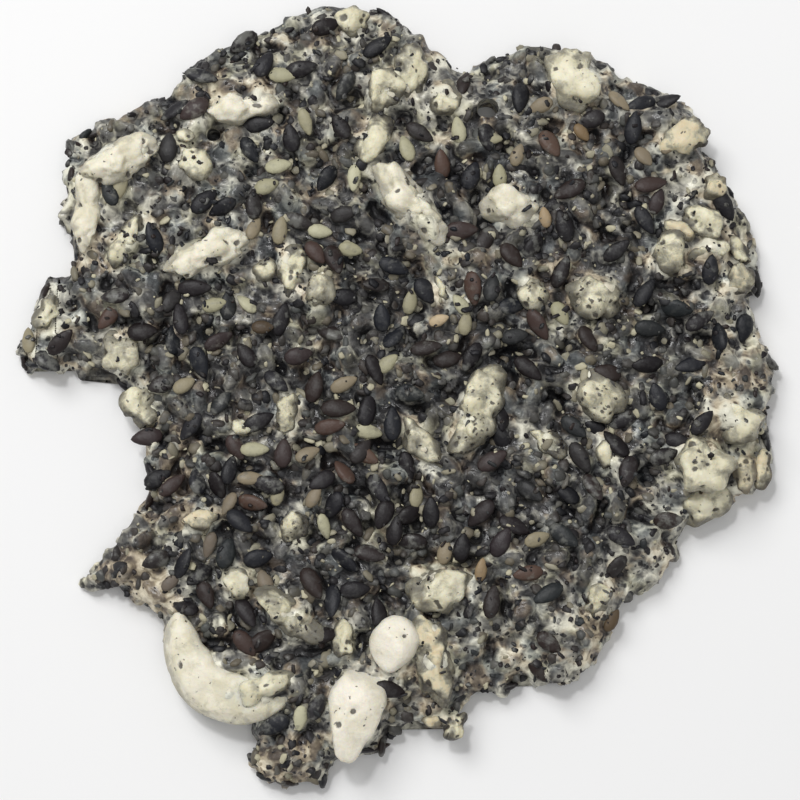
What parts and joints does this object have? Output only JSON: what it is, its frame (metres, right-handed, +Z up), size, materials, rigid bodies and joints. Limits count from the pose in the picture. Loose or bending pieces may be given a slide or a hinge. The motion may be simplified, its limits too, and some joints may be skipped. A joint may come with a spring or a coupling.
{
  "type": "sesame brittle slab",
  "caption": "Irregular broken slab of black sesame brittle: whole seeds and cream nut pieces held in set sugar, flat underneath and craggy on top and along its broken edge.",
  "frame": {"origin": "centre of the bounding box, on the flat underside", "axes": "+Z up from the underside; +Y towards the far edge, along the longest side; -X towards the side with the two spurs"},
  "size_m": [0.073, 0.0764, 0.0071],
  "materials": {
    "brittle_sugar": "set sugar, cream to smoke grey, semi-gloss and crumbly",
    "dark_seed": "toasted black sesame hull, satin",
    "pale_seed": "hulled and tan sesame, satin",
    "nut": "cream nut flesh, waxy, flecked with dark hull"
  },
  "bodies": {
    "root": {"sesame_brittle_slab": "brittle_sugar"}
  },
  "joints": []
}
